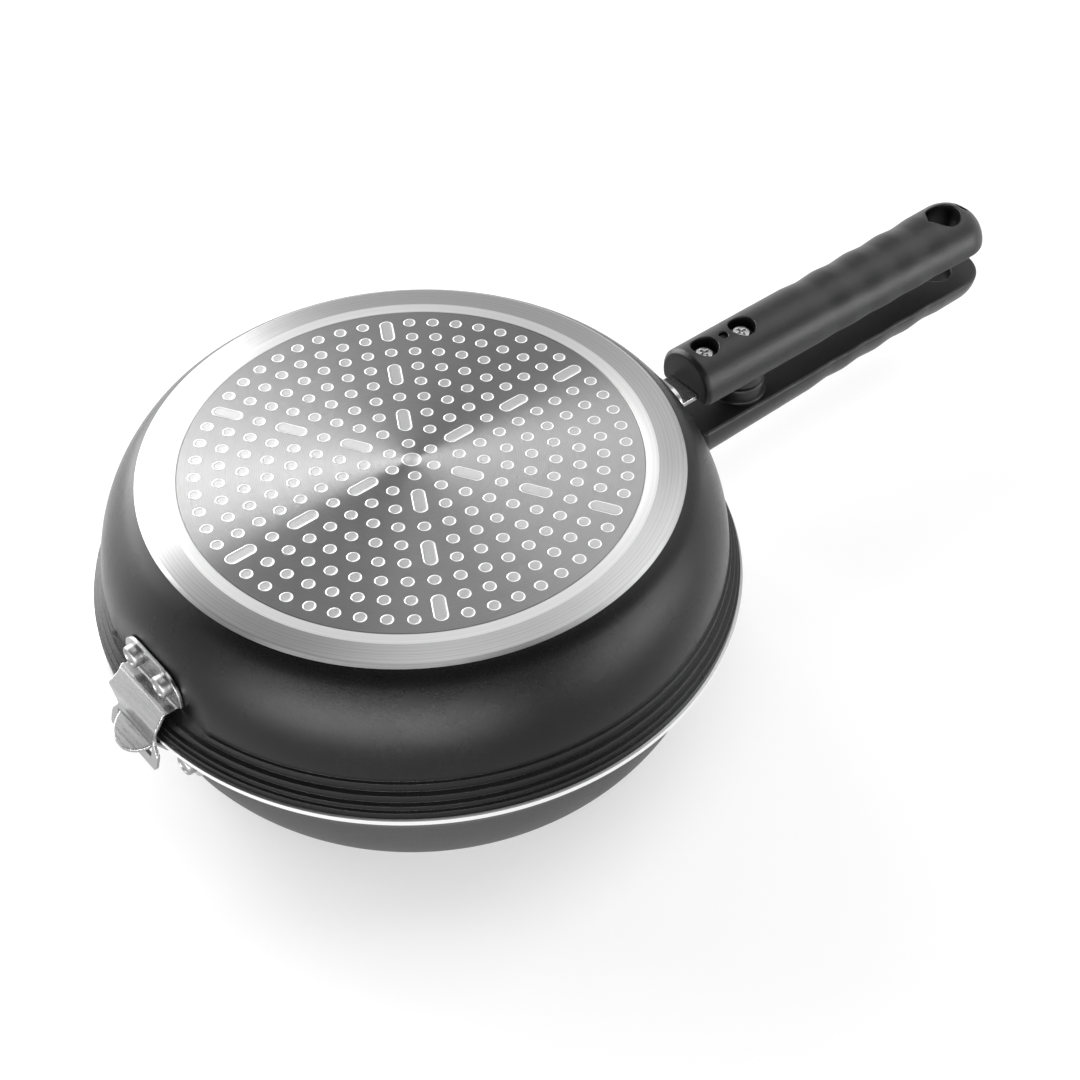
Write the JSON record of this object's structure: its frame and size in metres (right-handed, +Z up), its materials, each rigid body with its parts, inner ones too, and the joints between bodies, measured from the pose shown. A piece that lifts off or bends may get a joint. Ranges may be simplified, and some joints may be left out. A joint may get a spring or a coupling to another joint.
{
  "type": "double sided flip pan",
  "caption": "Shallow round frying pan closed by a matching pan on a loose hook hinge, with two half-round handles, riveted steel brackets and steel discs in the bases.",
  "frame": {"origin": "centre of the plane that the lower pan stands on, on the pans' common axis", "axes": "+Z up through both pans, +X towards the handles, -X towards the hinge"},
  "size_m": [0.4353, 0.24, 0.102],
  "materials": {
    "lower_coating": "dark grey non-stick coating on pressed aluminium, bare polished rim edge",
    "upper_coating": "black lightly textured coating on pressed aluminium, turned bare ring round the base",
    "induction_steel": "brushed steel pressed into aluminium",
    "plate_steel": "bright stamped steel sheet",
    "rivet_metal": "plain bright metal",
    "grip_plastic": "black heat-proof plastic with a fine grain",
    "screw_steel": "bright steel with a cross recess",
    "magnet_metal": "plated magnet"
  },
  "bodies": {
    "lower_half": {"lower_pan": "lower_coating", "lower_induction_disc": "induction_steel", "lower_hinge_plate": "plate_steel", "lower_hinge_rivet_left": "rivet_metal", "lower_hinge_rivet_right": "rivet_metal", "lower_handle_bracket": "plate_steel", "lower_bracket_rivet_left": "rivet_metal", "lower_bracket_rivet_right": "rivet_metal", "lower_handle_grip": "grip_plastic", "lower_handle_front_screw": "screw_steel", "lower_handle_rear_screw": "screw_steel", "lower_handle_magnet": "magnet_metal"},
    "upper_half": {"upper_pan": "upper_coating", "upper_induction_disc": "induction_steel", "upper_hinge_plate": "plate_steel", "upper_hinge_rivet_left": "rivet_metal", "upper_hinge_rivet_right": "rivet_metal", "upper_handle_bracket": "plate_steel", "upper_bracket_rivet_left": "rivet_metal", "upper_bracket_rivet_right": "rivet_metal", "upper_handle_grip": "grip_plastic", "upper_handle_front_screw": "screw_steel", "upper_handle_rear_screw": "screw_steel", "upper_handle_magnet": "magnet_metal"}
  },
  "joints": [
    {"name": "pan_hinge", "type": "hinge", "parent": "lower_half", "child": "upper_half", "pos_m": [-0.1217, 0, 0.0498], "axis": [0, -1, 0], "range_deg": [0, 35]}
  ]
}
